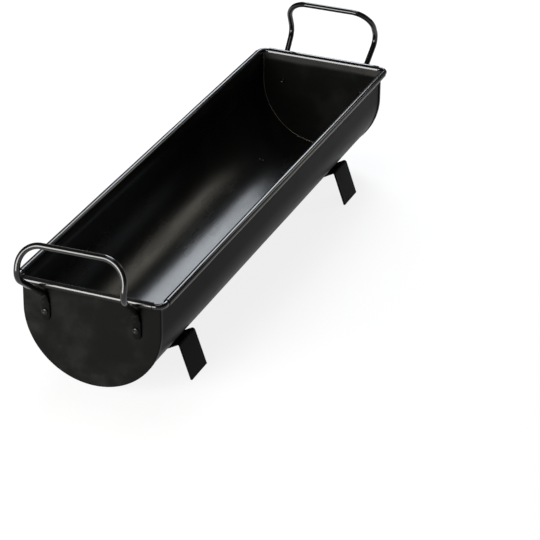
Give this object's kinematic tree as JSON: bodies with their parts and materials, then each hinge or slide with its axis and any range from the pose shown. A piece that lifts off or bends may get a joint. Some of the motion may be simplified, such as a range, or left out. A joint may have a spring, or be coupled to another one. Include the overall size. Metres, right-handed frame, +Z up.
{
  "type": "window box planter",
  "caption": "Long half-round sheet-metal trough planter on two bent strip brackets, with a bent rod handle riveted to each end plate and a wired, rolled rim.",
  "frame": {"origin": "on the ground, under the middle of the trough", "axes": "+X along the trough towards the rear handle, +Y across it to the left as seen from the front end, +Z up"},
  "size_m": [0.7158, 0.1678, 0.1897],
  "materials": {
    "coated_sheet": "semi-gloss black coating on thin steel sheet",
    "coated_rod": "gloss black coating on round steel rod and wire",
    "coated_strip": "satin black coating on steel strip",
    "coated_rivet": "gloss black coating on steel rivets"
  },
  "bodies": {
    "root": {"trough_body": "coated_sheet", "front_end_plate": "coated_sheet", "rear_end_plate": "coated_sheet", "rim_wire": "coated_rod", "front_bracket": "coated_strip", "rear_bracket": "coated_strip", "front_handle": "coated_rod", "rear_handle": "coated_rod", "front_handle_rivet_left": "coated_rivet", "front_handle_rivet_right": "coated_rivet", "rear_handle_rivet_left": "coated_rivet", "rear_handle_rivet_right": "coated_rivet", "front_bracket_rivet_left": "coated_rivet", "front_bracket_rivet_right": "coated_rivet", "rear_bracket_rivet_left": "coated_rivet", "rear_bracket_rivet_right": "coated_rivet"}
  },
  "joints": []
}
